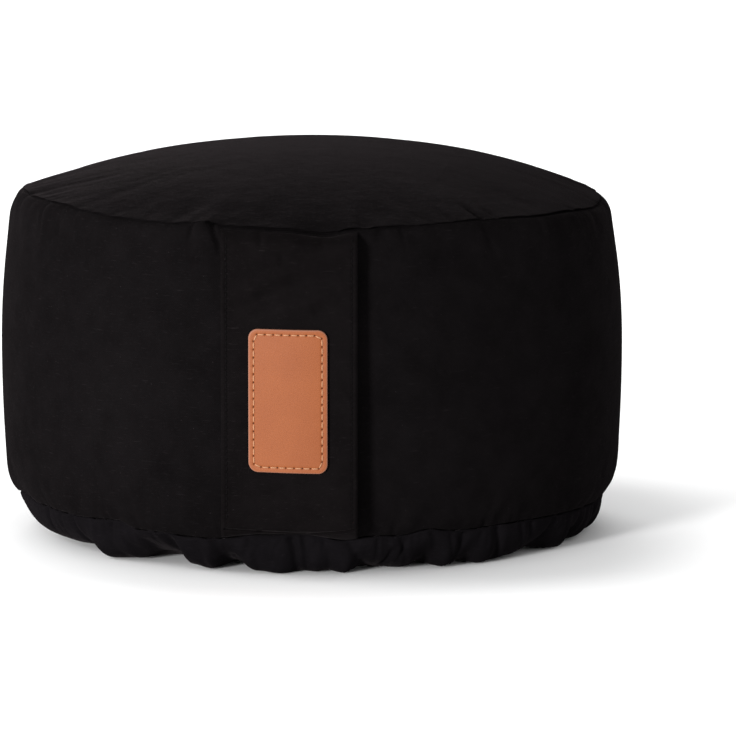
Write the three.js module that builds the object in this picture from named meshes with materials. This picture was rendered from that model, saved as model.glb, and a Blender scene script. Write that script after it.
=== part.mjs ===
// A round meditation cushion: a firmly filled drum of black cotton with a crowned top, a bulged side wall,
// a gathered skirt drawn under the base, and a wide carrying strap that bears a leather patch.
// Millimetres, +Z up, the front faces -Y, and the origin is the middle of the base on the floor.
// An azimuth is in degrees round the Z axis: 0 is the front, and positive turns towards +X.
import * as THREE from "three";

// Cushion body: radii and heights of its widest line and its two seams, and how its faces curve.
const WIDEST_RADIUS = 164.4;
const TOP_SEAM_RADIUS = 153;
const TOP_SEAM_HEIGHT = 179.4;
const LOWER_SEAM_RADIUS = 155.5;
const LOWER_SEAM_HEIGHT = 20;
const UPPER_TAPER = 7.2;
const UPPER_EDGE_SHARPNESS = 28;
const LOWER_TAPER = 3;
const LOWER_EDGE_SHARPNESS = 12;
const CROWN_RISE = 25.2;
const CROWN_FULLNESS = 2;
const SEAM_WAVE_FADE = 6;
const GROOVE_DEPTH = 2.2;
const GROOVE_HALF_WIDTH = 1.4;
const BASE_RADIUS = 103;

// Gathered skirt
const CLOTH_THICKNESS = 2;
const SKIRT_ROOT_RADIUS = 155;
const SKIRT_HEM_RADIUS = 112;
const SEAM_CLEARANCE = 0.5;
const SKIRT_INNER_CLEARANCE = 1;
const LOBE_FULLNESS = 2.15;
const FULLNESS_LOST_PER_LIFT = 0.16;

// Carrying strap: its slack is how far it stands off the wall.
const STRAP_CENTRE_X = -10.6;
const STRAP_WIDTH = 70;
const STRAP_THICKNESS = 3;
const STRAP_END_THICKNESS = 1.4;
const STRAP_END_TAPER = 9;
const STRAP_CLEARANCE = 0.8;
const STRAP_TOP_GAP = 1.6;
const STRAP_FOOT_GAP = 0.7;
const STRAP_TOP_EASE = 16;
const STRAP_KNEE_HEIGHT = 26.5;
const SLACK_LEFT = 1.4;
const SLACK_RIGHT = { low: 8, lowHeight: 40, high: 5.5, highHeight: 160 };

// Leather patch
const PATCH_CENTRE_X = -11.2;
const PATCH_CENTRE_HEIGHT = 93.8;
const PATCH_WIDTH = 40.5;
const PATCH_HEIGHT = 74;
const PATCH_THICKNESS = 2;
const PATCH_CORNER_RADIUS = 5;
const PATCH_CLEARANCE = 0.35;

// Mesh steps. Ring columns crowd towards the front, where the finer folds are.
const CUSHION_COLUMNS = 104;
const SKIRT_COLUMNS = 128;
const FRONT_CROWDING = 0.4;
const SKIRT_DOWN_STEPS = 6;
const SKIRT_UNDER_STEPS = 2;
const STRAP_ACROSS_STEPS = 12;
const PATCH_ACROSS_STEPS = 8;
const PATCH_STRAIGHT_STEPS = 8;
const PATCH_CORNER_STEPS = 4;

// How far the top seam rises above its level ring, because the filling lifts it unevenly.
const topSeamWave = [
  { azimuth: -106, rise: -3.8 },
  { azimuth: -94, rise: 0.4 },
  { azimuth: -78, rise: 2.8 },
  { azimuth: -58, rise: 3.4 },
  { azimuth: -50, rise: 2.3 },
  { azimuth: -38, rise: 1.0 },
  { azimuth: -28, rise: 0.8 },
  { azimuth: -21, rise: 2.9 },
  { azimuth: -16, rise: 1.0 },
  { azimuth: -5, rise: 0.0 },
  { azimuth: 3, rise: -2.0 },
  { azimuth: 8, rise: 0.0 },
  { azimuth: 14, rise: 0.7 },
  { azimuth: 33, rise: 1.7 },
  { azimuth: 56, rise: -0.8 },
  { azimuth: 80, rise: -4.4 },
  { azimuth: 108, rise: -4.0 },
  { azimuth: 140, rise: -0.6 },
  { azimuth: 180, rise: 0.8 },
  { azimuth: 215, rise: -0.6 },
];

// How far the lower seam rises above its level ring.
const lowerSeamWave = [
  { azimuth: -94, rise: -3.2 },
  { azimuth: -76, rise: 2.8 },
  { azimuth: -66, rise: 1.8 },
  { azimuth: -52, rise: 1.1 },
  { azimuth: -40, rise: 2.6 },
  { azimuth: -35, rise: -0.7 },
  { azimuth: -19, rise: -1.8 },
  { azimuth: -9, rise: 1.6 },
  { azimuth: -2, rise: 2.2 },
  { azimuth: 7, rise: -1.3 },
  { azimuth: 11, rise: 0.2 },
  { azimuth: 18, rise: 0.0 },
  { azimuth: 23, rise: 2.2 },
  { azimuth: 30, rise: 0.4 },
  { azimuth: 45, rise: 0.8 },
  { azimuth: 70, rise: -0.4 },
  { azimuth: 100, rise: 1.6 },
  { azimuth: 130, rise: -0.8 },
  { azimuth: 160, rise: 1.2 },
  { azimuth: 195, rise: -0.6 },
  { azimuth: 230, rise: 1.4 },
  { azimuth: 252, rise: 0.2 },
];

// The skirt's lobes and the gathers between them, on the side that bears the strap: how far out
// the cloth meets the floor, and how high a gather lifts it there.
const skirtFront = [
  { azimuth: -88, reach: 129, lift: 3.2 },
  { azimuth: -76, reach: 136, lift: 1.6 },
  { azimuth: -60, reach: 138, lift: 2.8 },
  { azimuth: -52, reach: 137, lift: 3.6 },
  { azimuth: -46, reach: 142, lift: 0 },
  { azimuth: -40, reach: 135, lift: 0.6 },
  { azimuth: -34, reach: 132, lift: 5.6 },
  { azimuth: -28, reach: 133, lift: 5.4 },
  { azimuth: -25.2, reach: 137, lift: 1.0 },
  { azimuth: -21, reach: 140.5, lift: 0 },
  { azimuth: -16.6, reach: 131, lift: 3.8 },
  { azimuth: -11, reach: 140, lift: 0 },
  { azimuth: -6, reach: 147, lift: 0 },
  { azimuth: -2, reach: 134, lift: 0 },
  { azimuth: 1, reach: 140, lift: 0 },
  { azimuth: 3.5, reach: 134, lift: 0.2 },
  { azimuth: 7, reach: 145.5, lift: 0 },
  { azimuth: 11, reach: 127, lift: 0.9 },
  { azimuth: 20, reach: 133, lift: 0 },
  { azimuth: 24, reach: 127, lift: 1.8 },
  { azimuth: 28, reach: 144, lift: 0 },
  { azimuth: 33, reach: 134, lift: 1.2 },
  { azimuth: 36.5, reach: 144, lift: 0 },
  { azimuth: 46, reach: 138, lift: 0.6 },
];

// Behind them, lobes and gathers take turns. Each varies round these values by its spread.
const skirtBack = { start: 53, end: 264, lobes: 17, stagger: 0.35 };
const backLobe = { reach: 141, reachSpread: 3.5, lift: 0, liftSpread: 0 };
const backGather = { reach: 130, reachSpread: 3, lift: 1.9, liftSpread: 1.1 };

// Soft troughs that the top seam pulls into the wall and into the crown. Each starts on the seam
// and fades out along its length, while it leans round by some degrees.
const wallPleats = [
  { azimuth: -20.4, length: 15, lean: 2.2, width: 2.6, depth: 2.2 },
  { azimuth: -24.5, length: 24, lean: 0.6, width: 4.5, depth: 1.0 },
  { azimuth: -66, length: 26, lean: 1.5, width: 6, depth: 0.9 },
  { azimuth: 13.5, length: 15, lean: -1.5, width: 4.5, depth: 1.2 },
  { azimuth: 36, length: 22, lean: 0.5, width: 4.5, depth: 1.1 },
  { azimuth: 84, length: 28, lean: 1.5, width: 7, depth: 1.2 },
  { azimuth: 121, length: 24, lean: -1.8, width: 7, depth: 1.1 },
  { azimuth: 158, length: 30, lean: 1.2, width: 8, depth: 1.2 },
  { azimuth: 203, length: 24, lean: -1.6, width: 7, depth: 1.1 },
  { azimuth: 238, length: 28, lean: 1.8, width: 7, depth: 1.0 },
];
const crownPleats = [
  { azimuth: -66, length: 46, lean: 10, width: 6.5, depth: 1.1 },
  { azimuth: -54, length: 34, lean: 9, width: 6, depth: 0.7 },
  { azimuth: -23, length: 18, lean: 0, width: 6, depth: 1.0 },
  { azimuth: 35, length: 24, lean: 2, width: 6, depth: 1.1 },
  { azimuth: 92, length: 34, lean: -6, width: 8, depth: 1.0 },
  { azimuth: 139, length: 28, lean: 4, width: 8, depth: 0.9 },
  { azimuth: 187, length: 30, lean: -4, width: 8, depth: 1.0 },
  { azimuth: 228, length: 28, lean: 5, width: 8, depth: 0.9 },
];

// The hidden underside, from the flat base up over the skirt. It follows the lower seam's wave
// more and more from waveStart outwards.
const underside = [
  { radius: BASE_RADIUS, height: 0 },
  { radius: 105.5, height: 1.4 },
  { radius: 110, height: 3.8 },
  { radius: 128, height: 9.8 },
  { radius: 141, height: 15.2 },
  { radius: 149, height: 18.6 },
];
const waveStart = 118;
const waveSpan = 32;

const clamp01 = (value) => Math.min(1, Math.max(0, value));
const mix = (from, to, share) => from + (to - from) * share;
const eased = (share) => clamp01(share) ** 2 * (3 - 2 * clamp01(share));
const steps = (count) => Array.from({ length: count + 1 }, (_, i) => i / count);
const radians = THREE.MathUtils.degToRad;
const degrees = THREE.MathUtils.radToDeg;

// The turn between two azimuths, from -180 to 180.
function turnBetween(from, to) {
  return THREE.MathUtils.euclideanModulo(to - from + 180, 360) - 180;
}

// The value of one column of a table at an azimuth, eased from row to row all the way round.
function around(table, column, azimuth) {
  const past = (row) => THREE.MathUtils.euclideanModulo(azimuth - row.azimuth, 360);
  const before = table.reduce((best, row) => (past(row) < past(best) ? row : best));
  const after = table.reduce((best, row) => (past(row) > past(best) ? row : best));
  const share = past(before) / (past(before) + 360 - past(after));
  return mix(before[column], after[column], eased(share));
}

const topSeamHeight = (azimuth) => TOP_SEAM_HEIGHT + around(topSeamWave, "rise", azimuth);
const lowerSeamHeight = (azimuth) => LOWER_SEAM_HEIGHT + around(lowerSeamWave, "rise", azimuth);

// How deep the pleats are at a distance from their seam: a sum of troughs with a round floor.
function pleatDepth(pleats, azimuth, fromSeam, radius) {
  return pleats.reduce((sum, pleat) => {
    const along = fromSeam / pleat.length;
    const across = radians(turnBetween(pleat.azimuth + pleat.lean * along, azimuth)) * radius;
    return sum + pleat.depth * Math.exp(-((across / pleat.width) ** 2)) * eased(1 - along);
  }, 0);
}

// How far a face has drawn in from its widest line: slowly by its taper, then sharply at its edge.
function drawnIn(level, taper, seamRadius, sharpness) {
  return taper * level ** 2 + (WIDEST_RADIUS - seamRadius - taper) * level ** sharpness;
}

// The wall's radius at a height. It is widest halfway up and draws in to both seams.
function wallRadius(azimuth, height) {
  const top = topSeamHeight(azimuth);
  const low = lowerSeamHeight(azimuth);
  const level = (2 * height - top - low) / (top - low);
  const inward = level > 0
    ? drawnIn(level, UPPER_TAPER, TOP_SEAM_RADIUS, UPPER_EDGE_SHARPNESS)
    : drawnIn(-level, LOWER_TAPER, LOWER_SEAM_RADIUS, LOWER_EDGE_SHARPNESS);
  return WIDEST_RADIUS - inward - pleatDepth(wallPleats, azimuth, top - height, WIDEST_RADIUS);
}

// The crown's height at a share of the seam's radius, from 0 in the middle to 1 at the groove's upper lip.
function crownHeight(azimuth, share) {
  const seam = mix(TOP_SEAM_HEIGHT, topSeamHeight(azimuth), share ** SEAM_WAVE_FADE);
  const fromSeam = (1 - share) * TOP_SEAM_RADIUS;
  const pleats = pleatDepth(crownPleats, azimuth, fromSeam, TOP_SEAM_RADIUS);
  return seam + GROOVE_HALF_WIDTH * share + CROWN_RISE * (1 - share ** CROWN_FULLNESS) - pleats;
}

// A point at an azimuth, a radius and a height.
function polar(azimuth, radius, height) {
  const angle = radians(azimuth);
  return new THREE.Vector3(radius * Math.sin(angle), -radius * Math.cos(angle), height);
}

// Azimuths of a ring's columns.
function ringAzimuths(count) {
  return Array.from({ length: count }, (_, column) => {
    const turn = (2 * Math.PI * column) / count;
    return degrees(turn - FRONT_CROWDING * Math.sin(turn));
  });
}

// A closed mesh from loops of points, each joined to the next. The loops go round anticlockwise seen from
// the last one. The ends are closed by a point each, by strips across the loops, or by joining last to first.
function loft(loops, { points = null, joined = false } = {}) {
  const size = loops[0].length;
  const vertices = loops.flat();
  const faces = [];
  const quad = (a, b, c, d) => faces.push(a, b, c, a, c, d);
  const bands = joined ? loops.length : loops.length - 1;
  for (let band = 0; band < bands; band += 1) {
    const here = band * size;
    const there = ((band + 1) % loops.length) * size;
    for (let i = 0; i < size; i += 1) {
      const j = (i + 1) % size;
      quad(here + i, here + j, there + j, there + i);
    }
  }
  const last = (loops.length - 1) * size;
  if (points) {
    const first = vertices.push(points[0], points[1]) - 2;
    for (let i = 0; i < size; i += 1) {
      const j = (i + 1) % size;
      faces.push(first, j, i, first + 1, last + i, last + j);
    }
  } else if (!joined) {
    for (let i = 0; i < size / 2 - 1; i += 1) {
      quad(i + 1, i, size - 1 - i, size - 2 - i);
      quad(last + i, last + i + 1, last + size - 2 - i, last + size - 1 - i);
    }
  }
  const geometry = new THREE.BufferGeometry().setFromPoints(vertices);
  geometry.setIndex(faces);
  geometry.computeVertexNormals();
  return geometry;
}

// The filled drum: flat base, underside drawn up over the skirt, wall, groove of the top seam, and crown.
function filledCushion() {
  const wallShares = [0.014, 0.04, 0.085, 0.15, 0.24, 0.36, 0.5, 0.64, 0.76, 0.85, 0.91, 0.95, 0.978];
  const crownShares = [1, 0.98, 0.95, 0.9, 0.83, 0.73, 0.6, 0.45, 0.28, 0.12];
  const azimuths = ringAzimuths(CUSHION_COLUMNS);
  const insideSkirt = SKIRT_ROOT_RADIUS - CLOTH_THICKNESS - SKIRT_INNER_CLEARANCE;
  const ring = (place) => azimuths.map((azimuth) => polar(azimuth, ...place(azimuth)));
  const loops = [
    ...underside.map(({ radius, height }) => ring((azimuth) => {
      const wave = (lowerSeamHeight(azimuth) - LOWER_SEAM_HEIGHT) * eased((radius - waveStart) / waveSpan);
      return [radius, height + wave];
    })),
    ring((azimuth) => [insideSkirt, lowerSeamHeight(azimuth) - SEAM_CLEARANCE]),
    ring((azimuth) => [insideSkirt, lowerSeamHeight(azimuth)]),
    ring((azimuth) => [LOWER_SEAM_RADIUS - SEAM_CLEARANCE, lowerSeamHeight(azimuth) + SEAM_CLEARANCE]),
    ...wallShares.map((share) => ring((azimuth) => {
      const height = mix(lowerSeamHeight(azimuth), topSeamHeight(azimuth), share);
      return [wallRadius(azimuth, height), height];
    })),
    ring((azimuth) => [TOP_SEAM_RADIUS + GROOVE_HALF_WIDTH, topSeamHeight(azimuth) - GROOVE_HALF_WIDTH]),
    ring((azimuth) => [TOP_SEAM_RADIUS - GROOVE_DEPTH, topSeamHeight(azimuth)]),
    ...crownShares.map((share) => ring((azimuth) => [share * TOP_SEAM_RADIUS, crownHeight(azimuth, share)])),
  ];
  return loft(loops, { points: [polar(0, 0, 0), polar(0, 0, TOP_SEAM_HEIGHT + CROWN_RISE)] });
}

// The skirt's rows all the way round, with the back ones staggered by turns so that no two are alike.
function skirtRows() {
  const rows = [...skirtFront];
  const count = 2 * skirtBack.lobes;
  const pitch = (skirtBack.end - skirtBack.start) / count;
  for (let k = 0; k < count; k += 1) {
    const { reach, reachSpread, lift, liftSpread } = k % 2 ? backLobe : backGather;
    rows.push({
      azimuth: skirtBack.start + pitch * (k + skirtBack.stagger * Math.sin(2.1 * k)),
      reach: reach + reachSpread * Math.sin(1.9 * k),
      lift: lift + liftSpread * Math.sin(1.3 * k),
    });
  }
  return rows;
}

// The skirt's outer face at an azimuth, as radii and heights: from the seam down and in to the floor along
// a superellipse, then under the base to the hem. A lobe is full and round, and a gather cuts the corner.
function skirtProfile(rows, azimuth) {
  const reach = around(rows, "reach", azimuth);
  const lift = around(rows, "lift", azimuth);
  const top = lowerSeamHeight(azimuth) - SEAM_CLEARANCE;
  const power = 2 / (LOBE_FULLNESS - FULLNESS_LOST_PER_LIFT * lift);
  const down = steps(SKIRT_DOWN_STEPS).map((share) => {
    const angle = (Math.PI / 2) * share;
    const outward = share === 1 ? 0 : Math.cos(angle) ** power;
    return new THREE.Vector2(
      mix(reach, SKIRT_ROOT_RADIUS, outward),
      mix(top, lift, Math.sin(angle) ** power),
    );
  });
  const under = steps(SKIRT_UNDER_STEPS).slice(1).map((share) => (
    new THREE.Vector2(mix(reach, SKIRT_HEM_RADIUS, share), lift * (1 - eased(share)))
  ));
  return [...down, ...under];
}

// The other face of a sheet: each point moved along the profile's normal by the cloth's thickness.
function innerFace(profile, thickness) {
  return profile.map((point, i) => {
    if (i === 0) return new THREE.Vector2(point.x - thickness, point.y);
    const after = profile[Math.min(profile.length - 1, i + 1)];
    const along = after.clone().sub(profile[i - 1]).normalize();
    return new THREE.Vector2(point.x + along.y * thickness, point.y - along.x * thickness);
  });
}

function gatheredSkirt() {
  const rows = skirtRows();
  const sections = ringAzimuths(SKIRT_COLUMNS).map((azimuth) => {
    const outer = skirtProfile(rows, azimuth);
    const inner = innerFace(outer, CLOTH_THICKNESS);
    return [...outer, ...inner.reverse()].map((point) => polar(azimuth, point.x, point.y));
  });
  return loft(sections, { joined: true });
}

// How far the strap's inner face stands off the wall: tight on its left, slack on its right and low down.
function strapSlack(across, height) {
  const { low, lowHeight, high, highHeight } = SLACK_RIGHT;
  const right = mix(low, high, clamp01((height - lowHeight) / (highHeight - lowHeight)));
  const slack = mix(SLACK_LEFT, right, eased(across));
  const nearTop = eased((TOP_SEAM_HEIGHT - height) / STRAP_TOP_EASE);
  const nearKnee = clamp01((height - LOWER_SEAM_HEIGHT) / (STRAP_KNEE_HEIGHT - LOWER_SEAM_HEIGHT));
  return STRAP_CLEARANCE + slack * nearTop * nearKnee;
}

function strapThickness(height) {
  const fromEnd = Math.min(TOP_SEAM_HEIGHT - height, height - LOWER_SEAM_HEIGHT);
  return mix(STRAP_END_THICKNESS, STRAP_THICKNESS, eased(fromEnd / STRAP_END_TAPER));
}

const wallAzimuth = (x) => degrees(Math.asin(x / WIDEST_RADIUS));

// A point in front of the wall at a place across the strap and a height, beyond the strap's inner face by
// the outward distance.
function strapFace(x, height, outward) {
  const radius = wallRadius(wallAzimuth(x), height);
  const across = (x - STRAP_CENTRE_X) / STRAP_WIDTH + 0.5;
  const wall = -Math.sqrt(radius ** 2 - x ** 2);
  return new THREE.Vector3(x, wall - strapSlack(across, height) - outward, height);
}

function carryStrap() {
  const shares = [0, 0.015, 0.035, 0.06, 0.09, 0.13, 0.19, 0.26, 0.34, 0.43, 0.52, 0.61, 0.7, 0.78, 0.85, 0.91,
    0.95, 0.98, 1];
  const xs = steps(STRAP_ACROSS_STEPS).map((share) => STRAP_CENTRE_X + STRAP_WIDTH * (share - 0.5));
  const point = (x, share, side) => {
    const foot = lowerSeamHeight(wallAzimuth(x)) + STRAP_FOOT_GAP;
    const top = topSeamHeight(wallAzimuth(x)) - STRAP_TOP_GAP;
    const height = mix(foot, top, share);
    return strapFace(x, height, side * strapThickness(height));
  };
  return loft(shares.map((share) => [
    ...xs.map((x) => point(x, share, 1)),
    ...[...xs].reverse().map((x) => point(x, share, 0)),
  ]));
}

// A plate with round corners that follows the strap's outer face. Its rows go from the lower edge to the
// upper one, each with its height over the middle and its half width.
function leatherPatch() {
  const straight = PATCH_HEIGHT / 2 - PATCH_CORNER_RADIUS;
  const corner = steps(PATCH_CORNER_STEPS).map((share) => ({
    rise: straight + PATCH_CORNER_RADIUS * Math.sin((Math.PI / 2) * share),
    halfWidth: PATCH_WIDTH / 2 - PATCH_CORNER_RADIUS * (1 - Math.cos((Math.PI / 2) * share)),
  }));
  const lowerCorner = [...corner].reverse().map(({ rise, halfWidth }) => ({ rise: -rise, halfWidth }));
  const middle = steps(PATCH_STRAIGHT_STEPS).slice(1, -1).map((share) => ({
    rise: mix(-straight, straight, share),
    halfWidth: PATCH_WIDTH / 2,
  }));
  return loft([...lowerCorner, ...middle, ...corner].map(({ rise, halfWidth }) => {
    const height = PATCH_CENTRE_HEIGHT + rise;
    const xs = steps(PATCH_ACROSS_STEPS).map((share) => PATCH_CENTRE_X + halfWidth * (2 * share - 1));
    const back = strapThickness(height) + PATCH_CLEARANCE;
    return [
      ...xs.map((x) => strapFace(x, height, back + PATCH_THICKNESS)),
      ...[...xs].reverse().map((x) => strapFace(x, height, back)),
    ];
  }));
}

function piece(name, geometry, color, roughness) {
  const mesh = new THREE.Mesh(geometry, new THREE.MeshStandardMaterial({ color, roughness, metalness: 0 }));
  mesh.name = name;
  return mesh;
}

const zafu = new THREE.Group();
zafu.add(
  piece("filled_cushion", filledCushion(), "#191718", 0.95),
  piece("gathered_skirt", gatheredSkirt(), "#19171a", 0.95),
  piece("carry_strap", carryStrap(), "#1b1819", 0.95),
  piece("leather_patch", leatherPatch(), "#bf7552", 0.6),
);

export default zafu;
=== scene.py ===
"""A round meditation cushion of black cotton, on a pale floor: its filled body, gathered skirt, slack
carrying strap and sewn-on leather patch. Metres, +Z up, the front faces -Y. An azimuth is in degrees round
the Z axis: 0 is the front, and positive turns towards +X."""

import math

import bpy
import numpy as np
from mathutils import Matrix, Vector


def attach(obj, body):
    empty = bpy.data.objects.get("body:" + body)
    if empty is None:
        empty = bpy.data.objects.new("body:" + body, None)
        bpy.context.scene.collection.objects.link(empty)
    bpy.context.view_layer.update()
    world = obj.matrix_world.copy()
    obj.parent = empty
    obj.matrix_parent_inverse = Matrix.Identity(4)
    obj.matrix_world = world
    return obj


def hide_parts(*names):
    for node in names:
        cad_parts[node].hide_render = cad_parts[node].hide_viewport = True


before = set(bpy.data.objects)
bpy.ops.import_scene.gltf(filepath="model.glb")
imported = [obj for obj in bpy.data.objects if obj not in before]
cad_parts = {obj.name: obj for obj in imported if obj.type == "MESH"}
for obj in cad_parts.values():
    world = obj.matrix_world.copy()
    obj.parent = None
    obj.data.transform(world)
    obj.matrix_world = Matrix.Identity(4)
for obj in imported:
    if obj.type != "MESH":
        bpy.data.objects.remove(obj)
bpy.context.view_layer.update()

MM = 0.001

# The photograph's view
IMAGE_WIDTH = 736
SENSOR_WIDTH = 36
CAMERA_DISTANCE = 4.6
CAMERA_ELEVATION = math.radians(9)
CAMERA_AIM = (0.0297, 0, 0.0839)
METRES_PER_PIXEL = 0.0005305

# Filled body
WIDEST_RADIUS = 0.1644
TOP_SEAM_RADIUS = 0.153
TOP_SEAM_HEIGHT = 0.1794
LOWER_SEAM_RADIUS = 0.1555
LOWER_SEAM_HEIGHT = 0.020
LOWER_LIP_RADIUS = 0.1537
UPPER_TAPER = 0.0072
UPPER_EDGE_SHARPNESS = 28
LOWER_TAPER = 0.003
LOWER_EDGE_SHARPNESS = 12
CROWN_RISE = 0.0252
SEAM_WAVE_FADE = 6
BASE_RADIUS = 0.103
UNDERSIDE_WAVE_START = 0.118
UNDERSIDE_WAVE_RUN = 0.032
SEAM_CLEARANCE = 0.0005
SEAM_LIP = 0.0006
CROWN_LIP_SHUT = 0.6
CROWN_LIP_OPEN = 1.5
CROWN_LIP_FADE = 24
SEAM_DEPTH = 0.008
WALL_TURN_IN = 0.0009
WALL_TURN_IN_REACH = 0.0006
CROWN_TURN_IN = 0.00044
CROWN_TURN_DOWN = 0.00022
CROWN_TURN_IN_REACH = 0.0008
BODY_COLUMNS = 720
FRONT_CROWDING = 0.55
END_CROWDING = 0.75
WALL_ROWS = 76
WALL_FIRST_SHARE = 0.004
CROWN_ROWS = 46
CROWN_LAST_SHARE = 0.988

# Chance puckers beside the seams: how many, and the least and most of their widths, lengths and depths
PUCKER_LEAN = 0.25
WALL_TOP_PUCKERS = dict(count=150, width=(0.0012, 0.004), length=(0.004, 0.016), depth=(0.0001, 0.0007))
WALL_FOOT_PUCKERS = dict(count=190, width=(0.0012, 0.0045), length=(0.003, 0.014), depth=(0.0001, 0.0008))
CROWN_PUCKERS = dict(count=120, width=(0.0016, 0.005), length=(0.004, 0.018), depth=(0.0001, 0.0005))
SKIRT_PUCKERS = dict(count=210, width=(0.0008, 0.0026), length=(0.006, 0.026), depth=(0.0002, 0.0013))
CREASE_LEAD_IN = 0.15

# Swelling of the body by cloth simulation
COARSE_COLUMNS = 240
COARSE_WALL_ROWS = 42
COARSE_CROWN_ROWS = 32
COARSE_CROWN_MIDDLE = 0.2
COARSE_UNDERSIDE_RADIUS = 0.13
COARSE_UNDERSIDE_HEIGHT = 0.01
COARSE_INSET = 0.0024
SPARE_CLOTH = 0.02
CLOTH_STEPS = 16
SAMPLING_BELL = 0.9
SWELLING_CAP = 0.0009
CROWN_SWELLING = 0.35
CROWN_STILL_SHARE = 0.3
CROWN_STILL_FADE = 0.6
UNDER_STRAP_CAP = 0.0003
UNDER_STRAP_AZIMUTH = -4.3
UNDER_STRAP_REACH = 22
UNDER_STRAP_FADE = 5

# Gathered skirt
SKIRT_ROOT_RADIUS = 0.155
SKIRT_HEM_RADIUS = 0.112
SKIRT_THICKNESS = 0.0012
INSIDE_SKIRT_RADIUS = 0.152
LOBE_FULLNESS = 2.15
FULLNESS_LOST_PER_LIFT = 160
GATHERS_END = 0.045
GATHERS_FADE = 0.02
GATHERS_LEAD_IN = 0.0006
DEEPEST_GATHER = 0.0026
SKIRT_CLOTH_SPREAD = 1.12
SKIRT_COLUMNS = 960
SKIRT_DOWN_ROWS = 26
SKIRT_UNDER_ROWS = 8

# Carrying strap
STRAP_CENTRE_X = -0.0106
STRAP_WIDTH = 0.070
STRAP_THICKNESS = 0.003
STRAP_TOP_SHARE = 0.5
STRAP_FOOT_SHARE = 0.9
STRAP_END_TAPER = 0.009
STRAP_END_ROLL = 0.0014
STRAP_CLEARANCE = 0.0008
STRAP_TOP_GAP = 0.0010
STRAP_FOOT_GAP = 0.0005
STRAP_TOP_EASE = 0.006
STRAP_KNEE_HEIGHT = 0.0265
SLACK_LEFT = 0.0014
TOPSTITCH_INSET = 0.0028
TOPSTITCH_PITCH = 0.0031
TOPSTITCH_FROM_FOOT = 0.009
TOPSTITCH_FROM_TOP = 0.005
TOPSTITCH_LENGTH = 0.0026
TOPSTITCH_THREAD_RADIUS = 0.0003
FURROW_WIDTH = 0.0006
FURROW_DEPTH = 0.0002
FURROW_DIMPLE = 0.00035
FURROW_END_FADE = 0.01
EDGE_PUFF = 0.0001
EDGE_PUFF_WIDTH = 0.0012
EDGE_PUFF_LOSS = 0.6
STRAP_ROWS = 330
STRAP_FACE_COLUMNS = 120
STRAP_BACK_COLUMNS = 40
STRAP_EDGE_STEPS = 8

# Leather patch
PATCH_CENTRE_X = -0.0112
PATCH_CENTRE_HEIGHT = 0.0938
PATCH_WIDTH = 0.0405
PATCH_HEIGHT = 0.074
PATCH_THICKNESS = 0.002
PATCH_CORNER_RADIUS = 0.005
PATCH_CLEARANCE = 0.00035
PATCH_PRESS_FADE = 0.01
PATCH_STITCH_INSET = 0.0027
PATCH_STITCH_PITCH = 0.0042
PATCH_FIRST_HOLE = 0.3
PATCH_STITCH_LENGTH = 0.0034
PATCH_STITCH_SINK = 0.0002
PATCH_THREAD_RADIUS = 0.00034
PATCH_HOLE_RADIUS = 0.00042
PATCH_HOLE_DEPTH = 0.0008
PATCH_CHANNEL_WIDTH = 0.0007
PATCH_CHANNEL_DEPTH = 0.00018
PATCH_EDGE_ROUNDING = 0.0007
PATCH_SOFT_RIM_WIDTH = 0.004
PATCH_SOFT_RIM_DEPTH = 0.00012
PATCH_CELL = 0.00036
PATCH_RIM_CELLS = np.array([0, 0.07, 0.18, 0.32, 0.5, 0.7]) * MM
PATCH_RIM_END = 0.001

# Floor
FLOOR_RADIUS = 40
FLOOR_CORNERS = 96
FLOOR_DROP = 0.0004
FLOOR_GLOW_START = 0.185
FLOOR_GLOW_FULL = 0.25


def table(columns, *rows):
    """A short table as a dict of arrays, one for each named column."""
    return dict(zip(columns.split(), np.array(rows, float).T))


# How far each seam rises above its level ring, in millimetres.
top_seam_wave = table(
    "azimuth rise",
    (-106, -3.8), (-94, 0.4), (-78, 2.8), (-58, 3.4), (-50, 2.3), (-38, 1.0), (-28, 0.8), (-21, 2.9),
    (-16, 1.0), (-5, 0.0), (3, -2.0), (8, 0.0), (14, 0.7), (33, 1.7), (56, -0.8), (80, -4.4), (108, -4.0),
    (140, -0.6), (180, 0.8), (215, -0.6),
)
lower_seam_wave = table(
    "azimuth rise",
    (-94, -3.2), (-76, 2.8), (-66, 1.8), (-52, 1.1), (-40, 2.6), (-35, -0.7), (-19, -1.8), (-9, 1.6),
    (-2, 2.2), (7, -1.3), (11, 0.2), (18, 0.0), (23, 2.2), (30, 0.4), (45, 0.8), (70, -0.4), (100, 1.6),
    (130, -0.8), (160, 1.2), (195, -0.6), (230, 1.4), (252, 0.2),
)

# How far the top seam stands open, from 0, drawn shut, to 1.
top_seam_opening = table(
    "azimuth share",
    (-90, 0.5), (-60, 0.7), (-30, 0.6), (-24.4, 0.6), (-23.2, 0.08), (-21, 0.08), (-19.8, 1.0), (-10, 1.0),
    (3, 1.0), (6, 0.6), (9, 0.9), (16, 0.6), (22, 0.3), (40, 0.35), (70, 0.5), (120, 0.4), (170, 0.6),
    (215, 0.4), (245, 0.6),
)

# The hidden underside, from the flat base out to the lower seam, in millimetres.
underside = table(
    "radius height",
    (BASE_RADIUS / MM, 0), (105.5, 1.4), (110, 3.8), (119, 6.8), (128, 9.8), (135, 12.7), (141, 15.2),
    (149, 18.6),
)

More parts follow.
